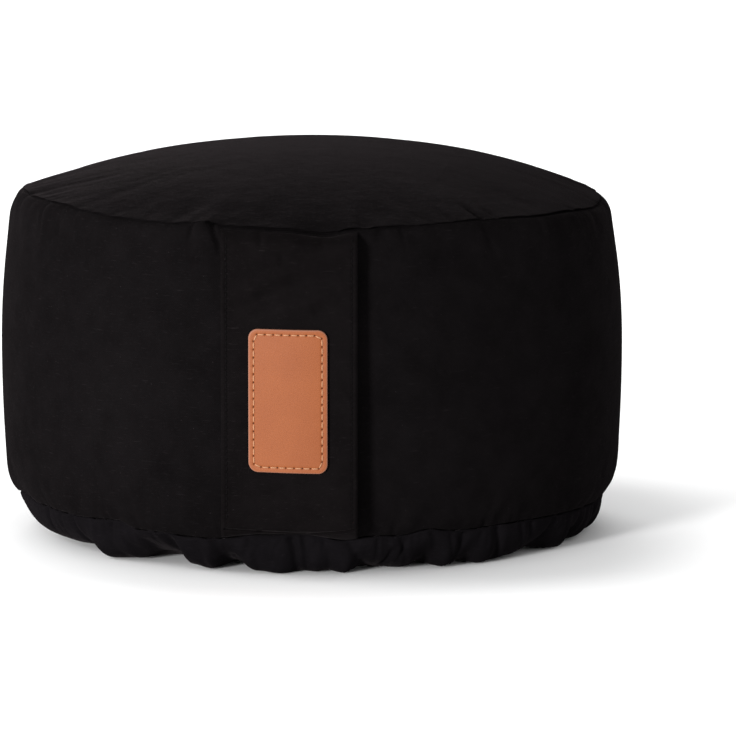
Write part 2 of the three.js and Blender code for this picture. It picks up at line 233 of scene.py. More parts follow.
# The skirt's lobes and gathers: how far out the cloth meets the floor, and how high a gather lifts it
# there, in millimetres. The front ones come from the photograph, and the others take turns.
skirt_front = [
    (-88, 129, 3.2), (-76, 136, 1.6), (-60, 138, 2.8), (-52, 137, 3.6), (-46, 142, 0), (-40, 135, 0.6),
    (-34, 132, 5.6), (-28, 133, 5.4), (-25.2, 137, 1.0), (-21, 140.5, 0), (-16.6, 131, 3.8), (-11, 140, 0),
    (-6, 147, 0), (-2, 137, 0), (1, 140, 0), (3.5, 136, 0.2), (7, 145.5, 0), (11, 127, 0.9), (20, 133, 0),
    (24, 127, 1.8), (28, 144, 0), (33, 134, 1.2), (36.5, 144, 0), (46, 138, 0.6),
]
SKIRT_BACK = {"start": 53, "end": 264, "rows": 34, "stagger": 0.35}
BACK_LOBE = {"reach": 141, "reach_spread": 3.5, "lift": 0, "lift_spread": 0}
BACK_GATHER = {"reach": 130, "reach_spread": 3, "lift": 1.9, "lift_spread": 1.1}

# How far the strap's right edge stands off the wall, in metres.
right_slack = table("height slack", (0.040, 0.008), (0.160, 0.0055))

# Creases, in millimetres, as creases() reads them. On the wall, u runs round it from the
# front and v down from the top seam. On the crown they are x and y, and on the strap's face x and z. On the
# skirt, u runs round and v is down along the cloth from its seam.
CREASE_COLUMNS = "u0 v0 u1 v1 left right depth fade"
wall_creases = table(
    CREASE_COLUMNS,
    (-55.6, 0, -46.8, 15, 1.2, 1.1, 3.4, 0.5),
    (-56, 0, -47, 19, 4.5, 3, 1.5, 0.6),
    (-66.5, 0, -67.5, 11, 1.1, 1.4, 1.8, 0.6),
    (-68, 0, -66, 20, 4, 3.5, 0.8, 0.7),
    (-48.4, 19, -48.4, 36, 5, 2.2, 0.9, 0.5),
    (-118, 0, -116, 7, 0.8, 0.9, 0.8, 0.6),
    (-181, 1, -180, 22, 1.2, 1.4, 0.6, 0.6),
    (-171, 2, -171, 16, 1.3, 1.8, 0.7, 0.6),
    (-161, 1, -159, 24, 1.4, 1.2, 0.6, 0.6),
    (-149, 1, -148, 14, 1.2, 1.6, 0.6, 0.6),
    (-90, 5, -84, 22, 6, 5, 0.6, 0.7),
    (-80, 8, -56, 11, 1.2, 1.6, 0.4, 0.6),
    (-78, 20, -58, 22, 1.4, 1.2, 0.35, 0.6),
    (39, 0, 35, 17, 3, 4, 1, 0.7),
    (103, 0, 105, 24, 3.5, 4.5, 0.9, 0.7),
    (-98, 56, -60, 47, 5, 8, 0.5, 0.7),
    (-130, 92, -84, 101, 9, 6, 0.45, 0.7),
    (60, 70, 110, 58, 7, 9, 0.5, 0.7),
    (243, 0, 247, 30, 4, 5, 1.1, 0.7),
    (349, 0, 343, 26, 5, 4, 1, 0.7),
    (453, 0, 457, 32, 5, 6, 1.1, 0.7),
    (-452, 0, -456, 26, 4, 5, 1, 0.7),
    (-352, 0, -346, 30, 5, 4, 0.9, 0.7),
)
crown_creases = table(
    CREASE_COLUMNS,
    (-146, -38, -83, -41, 3.2, 4.2, 0.6, 0.7),
    (-147, -18, -119, -22, 2.6, 3.4, 0.4, 0.7),
    (-138, -52, -91, -52, 3, 2.6, 0.4, 0.7),
    (-129, -78, -102, -69, 3.4, 4, 0.35, 0.7),
    (88, -124, 75, -104, 1.5, 1.8, 1.1, 0.6),
    (96, -118, 85, -103, 1.7, 2.2, 0.8, 0.6),
    (72, -134, 63, -116, 2, 2.4, 0.6, 0.6),
    (27, -149, 25, -128, 2.4, 2, 0.6, 0.7),
    (150, 20, 112, 14, 3.5, 3, 0.9, 0.7),
    (103, 111, 84, 90, 3.2, 3, 0.9, 0.7),
    (-18, 150, -13, 118, 3, 3.4, 0.9, 0.7),
    (-114, 99, -92, 78, 3, 3.2, 0.8, 0.7),
)
strap_creases = table(
    CREASE_COLUMNS,
    (-25.6, 178, -24.6, 169, 1.4, 1.8, 1, 0.6),
    (6.2, 178, 6.2, 171, 1.8, 2.2, 0.8, 0.6),
    (-38, 138, 13, 161, 5, 4, 2, 0.4),
    (-29, 151, 3, 167, 4, 3.5, -1.4, 0.5),
    (-12, 140, 20, 153, 4, 5, -1, 0.5),
    (3, 141, 24, 148, 4, 5, 0.7, 0.6),
    (-43, 152, -21, 159, 3, 3.6, 1, 0.6),
    (-14, 166, 8, 172, 3, 3, 0.9, 0.6),
    (-46, 25.2, -24, 24.4, 0.6, 0.6, 1.8, 0.05),
    (-25, 24.4, 0, 23.6, 0.6, 0.6, 2.2, 0.05),
    (-26, 22.6, 1, 22.6, 1, 1, 1.7, 0.1),
    (0, 23.6, 25, 27.2, 0.6, 0.6, 2.1, 0.05),
    (-39, 44, -7, 38, 4, 5, 0.9, 0.6),
    (21, 52, -3, 44, 4, 4, 0.9, 0.6),
)
skirt_creases = table(
    CREASE_COLUMNS,
    (-7.8, 1, -7.6, 30, 1.4, 1.3, 0.7, 0.3),
    (-2.2, 1, -1.4, 30, 2.6, 2.4, 1.5, 0.3),
    (-28, 6, -29, 24, 3.4, 2.6, 0.8, 0.5),
    (-59.5, 3, -58, 24, 3.5, 2.4, 1.5, 0.4),
    (-52, 1, -50, 12, 1.6, 1.2, 0.6, 0.5),
    (43.8, 8, 38.5, 26, 1.3, 1.7, 1.2, 0.4),
    (-77, 2, -76, 22, 2.4, 1.8, 1.1, 0.4),
    (-102, 2, -104, 24, 4, 3, 1.4, 0.4),
    (-41, 13, -41, 24, 1.3, 1.2, 1.2, 0.4),
    (9, 6, 12, 24, 1.8, 1.6, 0.7, 0.5),
    (25, 10, 21, 26, 2, 1.8, 0.7, 0.5),
    (105, 2, 110.5, 26, 3.6, 1.8, 2.2, 0.3),
)


def eased(share):
    """0 below 0 and 1 above 1, and a smooth step between."""
    share = np.clip(share, 0, 1)
    return share * share * (3 - 2 * share)


def mix(start, end, share):
    return start + (end - start) * share


def around(rows, column, azimuth):
    """One column of a table at any azimuths: eased from each row to the next, all the way round."""
    order = np.argsort(rows["azimuth"])
    stops = rows["azimuth"][order]
    values = rows[column][order]
    stops = np.append(stops, stops[0] + 360)
    values = np.append(values, values[0])
    place = stops[0] + np.mod(azimuth - stops[0], 360)
    after = np.clip(np.searchsorted(stops, place, side="right"), 1, len(stops) - 1)
    share = (place - stops[after - 1]) / (stops[after] - stops[after - 1])
    return mix(values[after - 1], values[after], eased(share))


def top_seam_height(azimuth):
    return TOP_SEAM_HEIGHT + MM * around(top_seam_wave, "rise", azimuth)


def lower_seam_height(azimuth):
    return LOWER_SEAM_HEIGHT + MM * around(lower_seam_wave, "rise", azimuth)


def turned(start, end):
    """The turn between azimuths, from -180 to 180."""
    return np.mod(end - start + 180, 360) - 180


def polar(azimuth, radius, height):
    """Points at azimuths, radii and heights: x = r sin a, y = -r cos a."""
    angle = np.radians(azimuth)
    x, y, z = np.broadcast_arrays(radius * np.sin(angle), -radius * np.cos(angle), height)
    return np.stack([x, y, z], axis=-1)


def creases(rows, u, v):
    """How deep a table of creases presses the chart point (u, v), in millimetres. Each crease runs from
    (u0, v0) to (u1, v1). Across it, the depth is a bell, with one width on its left and one on its right.
    Along it, the depth fades in over a short way before its start and out over the last `fade` share."""
    u, v = np.broadcast_arrays(u, v)
    depth = np.zeros(u.shape)
    for u0, v0, u1, v1, left, right, deepest, fade in zip(*(rows[c] for c in CREASE_COLUMNS.split())):
        length = math.hypot(u1 - u0, v1 - v0)
        du, dv = (u1 - u0) / length, (v1 - v0) / length
        along = ((u - u0) * du + (v - v0) * dv) / length
        across = (u - u0) * dv - (v - v0) * du
        bell = np.exp(-((across / np.where(across > 0, right, left)) ** 2))
        depth += deepest * bell * eased(1 + along / CREASE_LEAD_IN) * eased((1 - along) / fade)
    return depth


def puckers(rng, azimuth, distance, radius, count, width, length, depth):
    """How deep small chance puckers press the cloth beside a seam, in metres: each has its own azimuth, and
    a width, length and depth between the given two. It is a bell across and fades away from the seam."""
    total = np.zeros(np.broadcast(azimuth, distance).shape)
    for _ in range(count):
        centre = rng.uniform(-180, 180)
        lean = rng.normal(0, PUCKER_LEAN)
        w, l, d = (rng.uniform(*span) for span in (width, length, depth))
        across = np.radians(turned(centre, azimuth)) * radius - lean * distance
        total += d * np.exp(-((across / w) ** 2)) * np.exp(-((distance / l) ** 2))
    return total


def drawn_in(level, taper, seam_radius, sharpness):
    """How far a face has drawn in from its widest line: slowly by its taper, then sharply at its edge."""
    return taper * level**2 + (WIDEST_RADIUS - seam_radius - taper) * level**sharpness


def wall_radius(azimuth, height):
    """The smooth wall's radius at a height: widest halfway up, and drawn in to both seams."""
    top, low = top_seam_height(azimuth), lower_seam_height(azimuth)
    level = np.clip((2 * height - top - low) / (top - low), -1, 1)
    upper = drawn_in(np.maximum(level, 0), UPPER_TAPER, TOP_SEAM_RADIUS, UPPER_EDGE_SHARPNESS)
    lower = drawn_in(np.maximum(-level, 0), LOWER_TAPER, LOWER_SEAM_RADIUS, LOWER_EDGE_SHARPNESS)
    return WIDEST_RADIUS - upper - lower


def crown_height(azimuth, share):
    """The smooth crown's height at a share of the seam's radius, from 0 in the middle to 1 at its rim."""
    seam = mix(TOP_SEAM_HEIGHT, top_seam_height(azimuth), share**SEAM_WAVE_FADE)
    opening = around(top_seam_opening, "share", azimuth)
    lip = SEAM_LIP * (CROWN_LIP_SHUT + CROWN_LIP_OPEN * opening * share**CROWN_LIP_FADE)
    return seam + lip * share + CROWN_RISE * (1 - share**2)


# Meshes and objects

def placed(name, data):
    """A new object of the scene."""
    thing = bpy.data.objects.new(name, data)
    bpy.context.scene.collection.objects.link(thing)
    return thing


def new_piece(name, mesh, finish):
    piece = placed(name, mesh)
    mesh.materials.append(finish)
    mesh.polygons.foreach_set("use_smooth", np.ones(len(mesh.polygons), bool))
    return piece


def mesh_of(name, vertices, faces, corner_uv=None, attributes=None):
    """A mesh from arrays: vertices (n, 3), lists of corners, one UV in metres for each corner, and one
    number for each vertex in every named attribute."""
    mesh = bpy.data.meshes.new(name)
    mesh.from_pydata(vertices.reshape(-1, 3), [], faces)
    if corner_uv is not None:
        layer = mesh.uv_layers.new(name="cloth")
        layer.data.foreach_set("uv", np.ascontiguousarray(corner_uv, np.float32).ravel())
    for key, values in (attributes or {}).items():
        attribute = mesh.attributes.new(key, "FLOAT", "POINT")
        attribute.data.foreach_set("value", np.ascontiguousarray(values, np.float32).ravel())
    mesh.update()
    return mesh


def ring_faces(rows, columns):
    """Four-cornered faces between neighbouring rows of a grid whose columns go all the way round. Seen from
    outside, the rows go up and the columns anticlockwise."""
    row, column = np.meshgrid(np.arange(rows - 1), np.arange(columns), indexing="ij")
    beside = (column + 1) % columns
    corners = [row * columns + column, row * columns + beside,
               (row + 1) * columns + beside, (row + 1) * columns + column]
    return np.stack(corners, axis=-1).reshape(-1, 4)


def fan_faces(rows, columns):
    """Three-cornered faces that close ring_faces() below and above, each fan round a vertex of its own: the
    last two vertices, which come after the grid's."""
    column = np.arange(columns)
    beside = (column + 1) % columns
    base, apex, last = rows * columns, rows * columns + 1, (rows - 1) * columns
    return np.concatenate([np.stack([np.full_like(column, base), beside, column], 1),
                           np.stack([np.full_like(column, apex), last + column, last + beside], 1)])


def ring_uv(below, above):
    """Corner UVs for ring_faces(): below and above are (rows - 1, columns + 1, 2), the UVs of each band's
    lower and upper row, with the first column repeated at the end, one full turn on."""
    corners = [below[:, :-1], below[:, 1:], above[:, 1:], above[:, :-1]]
    return np.stack(corners, axis=2).reshape(-1, 2)


# Filled body

def body_azimuths():
    """The body's columns, which crowd towards the front: azimuth = t - crowding * sin t, t even all round."""
    turn = np.linspace(-np.pi, np.pi, BODY_COLUMNS, endpoint=False)[None, :]
    return np.degrees(turn - FRONT_CROWDING * np.sin(turn))


def dense_at_ends(count, low=0.0, high=1.0):
    """Shares from low to high that crowd towards both ends, in a column: part even, part a half cosine."""
    share = np.linspace(0, 1, count)[:, None]
    return mix(low, high, mix(share, 0.5 - 0.5 * np.cos(np.pi * share), END_CROWDING))


def wall_shares():
    """The wall's rows as shares of the way from the lower seam to the top one."""
    return dense_at_ends(WALL_ROWS, WALL_FIRST_SHARE, 1.0)


def crown_shares():
    """The crown's rows as shares of the seam's radius, from the rim in."""
    return 1 - dense_at_ends(CROWN_ROWS, 0, CROWN_LAST_SHARE)


def body_rows(azimuth, swelling):
    """The filled body as rows of points from the base up: the hidden underside, the lower seam's lip, the
    wall, the top seam's furrow and the crown. Returns the points, their (u, v) in metres on the flat cloth,
    and how many rows lie below and up to the top seam."""
    rng = np.random.default_rng(11)
    low, top = lower_seam_height(azimuth), top_seam_height(azimuth)
    opening = around(top_seam_opening, "share", azimuth)
    round_it = np.radians(azimuth) * WIDEST_RADIUS

    radius, height = (MM * underside[c][:, None] for c in ("radius", "height"))
    wave = (low - LOWER_SEAM_HEIGHT) * eased((radius - UNDERSIDE_WAVE_START) / UNDERSIDE_WAVE_RUN)
    rows = [polar(azimuth, radius, height + wave)]
    lip_rows = (INSIDE_SKIRT_RADIUS, -0.0005), (INSIDE_SKIRT_RADIUS, 0.0), (LOWER_LIP_RADIUS, 0.00035)
    rows += [polar(azimuth, lip_radius, low + rise) for lip_radius, rise in lip_rows]
    hidden = sum(len(r) for r in rows)

    height = mix(low, top - SEAM_LIP, wall_shares())
    below = (top - height) / MM
    pressed = MM * creases(wall_creases, round_it / MM, below)
    pressed += puckers(rng, azimuth, top - height, WIDEST_RADIUS, **WALL_TOP_PUCKERS)
    pressed += puckers(rng, azimuth, height - low, WIDEST_RADIUS, **WALL_FOOT_PUCKERS)
    lip = WALL_TURN_IN * np.exp(-(top - SEAM_LIP - height) / WALL_TURN_IN_REACH) * opening
    rows.append(polar(azimuth, wall_radius(azimuth, height) - pressed - lip + swelling["wall"], height))
    seam_row = sum(len(r) for r in rows)

    rows.append(polar(azimuth, TOP_SEAM_RADIUS - SEAM_DEPTH * opening, top))
    share = crown_shares()
    radius = share * TOP_SEAM_RADIUS
    inward = TOP_SEAM_RADIUS - radius
    flat = polar(azimuth, radius, 0.0)
    pressed = MM * creases(crown_creases, flat[..., 0] / MM, flat[..., 1] / MM)
    pressed += puckers(rng, azimuth, inward, TOP_SEAM_RADIUS, **CROWN_PUCKERS)
    lip = np.exp(-inward / CROWN_TURN_IN_REACH) * opening
    height = crown_height(azimuth, share) - pressed + swelling["crown"]
    rows.append(polar(azimuth, radius - CROWN_TURN_IN * lip, height - CROWN_TURN_DOWN * lip))
    return np.concatenate(rows), hidden, seam_row


def filled_body(finish, swelling):
    """The drum's rows joined into one closed skin. The wall's cloth is unrolled round the drum, and the
    crown's and the base's lie flat."""
    azimuth = body_azimuths()
    points, hidden, seam_row = body_rows(azimuth, swelling)
    count = len(points)
    turns = np.append(azimuth[0], azimuth[0, 0] + 360)
    wrap = np.arange(BODY_COLUMNS + 1) % BODY_COLUMNS
    round_it = np.radians(turns)[None, :] * WIDEST_RADIUS
    unrolled = np.stack(np.broadcast_arrays(round_it, points[:, wrap, 2]), -1)
    lying = points[:, wrap, :2]
    band = np.arange(count - 1)[:, None, None]
    on_wall = (band >= hidden - 1) & (band < seam_row)
    uv = ring_uv(np.where(on_wall, unrolled[:-1], lying[:-1]), np.where(on_wall, unrolled[1:], lying[1:]))

    crown_middle = points[-1].mean(axis=0) + (0, 0, 0.00001)
    vertices = np.concatenate([points.reshape(-1, 3), [[0, 0, 0]], [crown_middle]])
    fans = fan_faces(count, BODY_COLUMNS)
    faces = ring_faces(count, BODY_COLUMNS).tolist() + fans.tolist()
    uv = np.concatenate([uv, vertices[fans.ravel(), :2]])
    mesh = mesh_of("cotton_body", vertices, faces, uv)
    piece = new_piece("cotton_body", mesh, finish)
    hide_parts("filled_cushion")
    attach(piece, "root")


# Gathered skirt

def skirt_rows():
    """All the rows round the skirt. The back ones are staggered by turns, so that no two are alike."""
    rows = list(skirt_front)
    pitch = (SKIRT_BACK["end"] - SKIRT_BACK["start"]) / SKIRT_BACK["rows"]
    for k in range(SKIRT_BACK["rows"]):
        kind = BACK_LOBE if k % 2 else BACK_GATHER
        azimuth = SKIRT_BACK["start"] + pitch * (k + SKIRT_BACK["stagger"] * math.sin(2.1 * k))
        reach = kind["reach"] + kind["reach_spread"] * math.sin(1.9 * k)
        rows.append((azimuth, reach, kind["lift"] + kind["lift_spread"] * math.sin(1.3 * k)))
    return table("azimuth reach lift", *rows)


def skirt_profile(azimuth):
    """The skirt's outer face as radii and heights: from the seam down and in to the floor along a
    superellipse, then under the base to the hem. Returns them with the length down the cloth."""
    rows = skirt_rows()
    reach, lift = (MM * around(rows, column, azimuth) for column in ("reach", "lift"))
    top = lower_seam_height(azimuth) - SEAM_CLEARANCE
    power = 2 / (LOBE_FULLNESS - FULLNESS_LOST_PER_LIFT * lift)
    angle = np.linspace(0, np.pi / 2, SKIRT_DOWN_ROWS)[:, None]
    outward = np.where(angle >= np.pi / 2 - 1e-6, 0, np.abs(np.cos(angle)) ** power)
    radius = mix(reach, SKIRT_ROOT_RADIUS, outward)
    height = mix(top, lift, np.sin(angle) ** power)
    share = np.linspace(0, 1, SKIRT_UNDER_ROWS + 1)[1:, None]
    radius = np.concatenate([radius, mix(reach, SKIRT_HEM_RADIUS, share)])
    height = np.concatenate([height, lift * (1 - eased(share))])
    steps = np.hypot(np.diff(radius, axis=0), np.diff(height, axis=0))
    down = np.concatenate([np.zeros((1, radius.shape[1])), np.cumsum(steps, axis=0)])
    return radius, height, down


def gathered_skirt(finish):
    """A thin ring of cloth on the profile above, with its gathers pressed in along the face's normal."""
    rng = np.random.default_rng(5)
    azimuth = np.linspace(-180, 180, SKIRT_COLUMNS, endpoint=False)[None, :]
    radius, height, down = skirt_profile(azimuth)
    round_it = np.radians(azimuth) * SKIRT_ROOT_RADIUS
    along_r, along_z = np.gradient(radius, axis=0), np.gradient(height, axis=0)
    size = np.hypot(along_r, along_z) + 1e-9
    normal_r, normal_z = -along_z / size, along_r / size
    hangs = eased((GATHERS_END - down) / GATHERS_FADE)
    pressed = MM * creases(skirt_creases, round_it / MM, down / MM) * hangs
    chance = puckers(rng, azimuth, down, SKIRT_ROOT_RADIUS, **SKIRT_PUCKERS)
    pressed += hangs * eased(down / GATHERS_LEAD_IN) * chance
    pressed = np.minimum(pressed, DEEPEST_GATHER)
    radius = radius - pressed * np.maximum(normal_r, 0)
    height = np.maximum(height - pressed * np.minimum(normal_z, 0), 0.0)
    points = polar(azimuth, radius, height)[::-1]
    turns = np.append(azimuth[0], azimuth[0, 0] + 360)
    wrap = np.arange(SKIRT_COLUMNS + 1) % SKIRT_COLUMNS
    u = np.radians(turns)[None, :] * SKIRT_ROOT_RADIUS * SKIRT_CLOTH_SPREAD
    uv = np.stack(np.broadcast_arrays(u, -down[::-1][:, wrap]), -1)
    faces = ring_faces(len(points), SKIRT_COLUMNS).tolist()
    mesh = mesh_of("cotton_skirt", points, faces, ring_uv(uv[:-1], uv[1:]))
    piece = new_piece("cotton_skirt", mesh, finish)
    wall = piece.modifiers.new("cloth thickness", "SOLIDIFY")
    wall.thickness = SKIRT_THICKNESS
    wall.offset = -1
    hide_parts("gathered_skirt")
    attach(piece, "root")


# Carrying strap

def strap_slack(across, height):
    """How far the strap's inner face stands off the wall: tight on its left, slack on its right."""
    right = np.interp(height, right_slack["height"], right_slack["slack"])
    slack = mix(SLACK_LEFT, right, eased(across))
    near_top = eased((TOP_SEAM_HEIGHT - height) / STRAP_TOP_EASE)
    near_knee = np.clip((height - LOWER_SEAM_HEIGHT) / (STRAP_KNEE_HEIGHT - LOWER_SEAM_HEIGHT), 0, 1)
    return STRAP_CLEARANCE * (0.5 + 0.5 * near_top * near_knee) + slack * near_top * near_knee


def strap_thickness(height):
    """The strap thins towards the top seam, and less towards its foot, where its hem is folded under."""
    near_top = eased((TOP_SEAM_HEIGHT - height) / STRAP_END_TAPER)
    near_foot = eased((height - LOWER_SEAM_HEIGHT) / STRAP_END_TAPER)
    return STRAP_THICKNESS * mix(STRAP_TOP_SHARE, 1, near_top) * mix(STRAP_FOOT_SHARE, 1, near_foot)


def rolled_in(from_end):
    """The share of its thickness that the strap keeps near a sewn end, where it rolls over into the seam: a
    quarter circle, 0 at the end and 1 from STRAP_END_ROLL on."""
    share = np.clip((from_end + 0.00004) / STRAP_END_ROLL, 0, 1)
    return np.sqrt(1 - (1 - share) ** 2)


def wall_azimuth(x):
    return np.degrees(np.arcsin(x / WIDEST_RADIUS))


def strap_face(x, height, outward):
    """Points in front of the wall at x and a height, beyond the strap's inner face by outward."""
    wall = -np.sqrt(wall_radius(wall_azimuth(x), height) ** 2 - x**2)
    across = (x - STRAP_CENTRE_X) / STRAP_WIDTH + 0.5
    y = wall - strap_slack(across, height) - outward
    return np.stack(np.broadcast_arrays(x, y, height), axis=-1)


def under_patch(x, height):
    """1 under the leather patch, where the strap lies flat, fading to 0 within a centimetre round it."""
    beside = np.maximum(np.abs(x - PATCH_CENTRE_X) - PATCH_WIDTH / 2, 0)
    beyond = np.maximum(np.abs(height - PATCH_CENTRE_HEIGHT) - PATCH_HEIGHT / 2, 0)
    return eased(1 - np.hypot(beside, beyond) / PATCH_PRESS_FADE)


def strap_relief(x, height):
    """How far the strap's face is pressed in, in metres: its soft wrinkles, and the two furrows that the
    topstitching draws along its edges, with a dimple at each stitch and a low puff of cloth outside."""
    soft = MM * creases(strap_creases, x / MM, height / MM) * (1 - under_patch(x, height))
    from_edge = STRAP_WIDTH / 2 - np.abs(x - STRAP_CENTRE_X)
    stitch = 0.5 + 0.5 * np.cos(2 * np.pi * height / TOPSTITCH_PITCH)
    furrow = np.exp(-(((from_edge - TOPSTITCH_INSET) / FURROW_WIDTH) ** 2))
    furrow = furrow * (FURROW_DEPTH + FURROW_DIMPLE * stitch)
    puff = np.exp(-(((from_edge - 0.5 * TOPSTITCH_INSET) / EDGE_PUFF_WIDTH) ** 2))
    puff = puff * EDGE_PUFF * (1 - EDGE_PUFF_LOSS * stitch)
    below_top = eased((TOP_SEAM_HEIGHT - height) / FURROW_END_FADE)
    above_foot = eased((height - LOWER_SEAM_HEIGHT) / FURROW_END_FADE)
    return soft + below_top * above_foot * (furrow - puff)


def carrying_strap(finish):
    """A flat tube of doubled cloth: its rows go up from the lower seam to the top one, and each row runs
    across the face, round the right edge, back across the hidden side and round the left edge. Each of these
    sides is given by shares of the half width, of the edge's bulge and of the thickness."""
    share = dense_at_ends(STRAP_ROWS)
    turn = np.linspace(0, np.pi, STRAP_EDGE_STEPS + 1)[1:-1]
    face = np.linspace(-1, 1, STRAP_FACE_COLUMNS)
    back = np.linspace(1, -1, STRAP_BACK_COLUMNS)
    sides = ((face, 0 * face, 0 * face + 1), (0 * turn + 1, np.sin(turn), 0.5 + 0.5 * np.cos(turn)),
             (back, 0 * back, 0 * back), (0 * turn - 1, -np.sin(turn), 0.5 - 0.5 * np.cos(turn)))
    straight, bulge, lift = (np.concatenate(parts)[None, :] for parts in zip(*sides))
    on_face = np.arange(straight.size)[None, :] < STRAP_FACE_COLUMNS
    rounding = STRAP_THICKNESS / 2
    x = STRAP_CENTRE_X + straight * (STRAP_WIDTH / 2 - rounding) + bulge * rounding
    azimuth = wall_azimuth(x)
    foot = lower_seam_height(azimuth) + STRAP_FOOT_GAP
    top = top_seam_height(azimuth) - STRAP_TOP_GAP
    height = mix(foot, top, share)
    thickness = strap_thickness(height)
    outward = thickness * lift - strap_relief(x, height) * on_face
    outward *= rolled_in(height - foot) * rolled_in(top - height)
    points = strap_face(np.broadcast_to(x, height.shape), height, outward)
    rows, columns = height.shape
    wrap = np.arange(columns + 1) % columns
    girth = np.concatenate([[0], np.cumsum(np.hypot(np.diff(x[0]), STRAP_THICKNESS * np.diff(lift)))])
    girth = np.append(girth, girth[-1] + girth[1])
    uv = np.stack([np.broadcast_to(girth, (rows, columns + 1)), height[:, wrap]], -1)
    first, last = np.arange(columns)[::-1], (rows - 1) * columns + np.arange(columns)
    ends = points.reshape(-1, 3)[np.concatenate([first, last]), :2]
    uv = np.concatenate([ring_uv(uv[:-1], uv[1:]), ends])
    faces = ring_faces(rows, columns).tolist() + [first.tolist(), last.tolist()]
    mesh = mesh_of("cotton_strap", points, faces, uv)
    piece = new_piece("cotton_strap", mesh, finish)
    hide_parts("carry_strap")
    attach(piece, "root")
    return piece


def stitches(name, places, directions, length, radius, finish):
    """Short stitches on the front as one mesh. Each is a thread that rises out of the cloth and dips back
    into it: a half wave along its direction, round in section, drawn to a point at both ends."""
    sides, steps = 8, 9
    directions = directions / np.linalg.norm(directions, axis=1, keepdims=True)
    outwards = directions * directions[:, 1:2] - (0, 1, 0)
    outwards /= np.linalg.norm(outwards, axis=1, keepdims=True)
    share = np.linspace(0, 1, steps)[None, :, None, None]
    angle = np.linspace(0, 2 * np.pi, sides, endpoint=False)[None, None, :, None]
    along, out = directions[:, None, None, :], outwards[:, None, None, :]
    beside = np.cross(directions, outwards)[:, None, None, :]
    thick = radius * np.sqrt(np.clip(1 - np.abs(2 * share - 1) ** 3, 0.02, 1))
    rise = radius * (1.1 * np.sin(np.pi * share**0.8) - 0.5)
    centre = places[:, None, None, :] + along * (share - 0.5) * length + out * rise
    points = centre + thick * (beside * np.cos(angle) + out * np.sin(angle))
    count = len(places)
    step, side = np.meshgrid(np.arange(steps - 1), np.arange(sides), indexing="ij")
    beside_it = (side + 1) % sides
    tube = np.stack([step * sides + side, (step + 1) * sides + side,
                     (step + 1) * sides + beside_it, step * sides + beside_it], -1).reshape(-1, 4)
    offsets = (np.arange(count) * steps * sides)[:, None, None]
    faces = (tube[None] + offsets).reshape(-1, 4).tolist()
    start = np.arange(sides)[None, :] + offsets[:, 0]
    end = (steps - 1) * sides + start
    faces += start.tolist() + end[:, ::-1].tolist()
    return new_piece(name, mesh_of(name, points, faces), finish)


def strap_topstitching(finish):
    """Black stitches in the furrows along both long edges of the strap."""
    lowest, highest = LOWER_SEAM_HEIGHT + TOPSTITCH_FROM_FOOT, TOP_SEAM_HEIGHT - TOPSTITCH_FROM_TOP
    heights = np.arange(lowest, highest, TOPSTITCH_PITCH) + 0.5 * TOPSTITCH_PITCH
    heights = (np.round(heights / TOPSTITCH_PITCH) + 0.5) * TOPSTITCH_PITCH
    lines = []
    for side in (-1, 1):
        x = np.full_like(heights, STRAP_CENTRE_X + side * (STRAP_WIDTH / 2 - TOPSTITCH_INSET))
        lines.append(strap_face(x, heights, strap_thickness(heights) - strap_relief(x, heights)))
    directions = np.concatenate([np.gradient(line, axis=0) for line in lines])
    return stitches("strap_topstitching", np.concatenate(lines), directions,
                    TOPSTITCH_LENGTH, TOPSTITCH_THREAD_RADIUS, finish)


# Leather patch

def from_rim(x, z):
    """How far inside the patch's rounded outline a point lies, in metres."""
    radius = PATCH_CORNER_RADIUS
    dx = np.abs(x) - (PATCH_WIDTH / 2 - radius)
    dz = np.abs(z) - (PATCH_HEIGHT / 2 - radius)
    outside = np.hypot(np.maximum(dx, 0), np.maximum(dz, 0)) + np.minimum(np.maximum(dx, dz), 0)
    return radius - outside


def stitch_holes():
    """Where the thread goes through the patch: evenly round a rounded outline inside its rim, walked from
    its lower right corner up and round to the left. Returns each hole's (x, z) from the patch's middle."""
    radius = PATCH_CORNER_RADIUS - PATCH_STITCH_INSET
    across = PATCH_WIDTH - 2 * PATCH_CORNER_RADIUS
    up = PATCH_HEIGHT - 2 * PATCH_CORNER_RADIUS
    corner = math.pi / 2 * radius
    total = 2 * (across + up) + 4 * corner
    count = round(total / PATCH_STITCH_PITCH)
    walked = np.linspace(0, total, count, endpoint=False) + PATCH_FIRST_HOLE * PATCH_STITCH_PITCH
    holes = np.zeros((count, 2))
    start = 0.0
    place = np.array([across / 2 + radius, -up / 2])
    for k, straight in enumerate((up, across, up, across)):
        heading = (k + 1) * math.pi / 2
        ahead = np.array([math.cos(heading), math.sin(heading)])
        left = np.array([-math.sin(heading), math.cos(heading)])
        on_side = (walked >= start) & (walked < start + straight)
        holes[on_side] = place + (walked[on_side] - start)[:, None] * ahead
        place = place + straight * ahead
        start += straight
        on_corner = (walked >= start) & (walked < start + corner)
        bend = ((walked[on_corner] - start) / radius)[:, None]
        holes[on_corner] = place + radius * (ahead * np.sin(bend) + left * (1 - np.cos(bend)))
        place = place + radius * (ahead + left)
        start += corner
    return holes


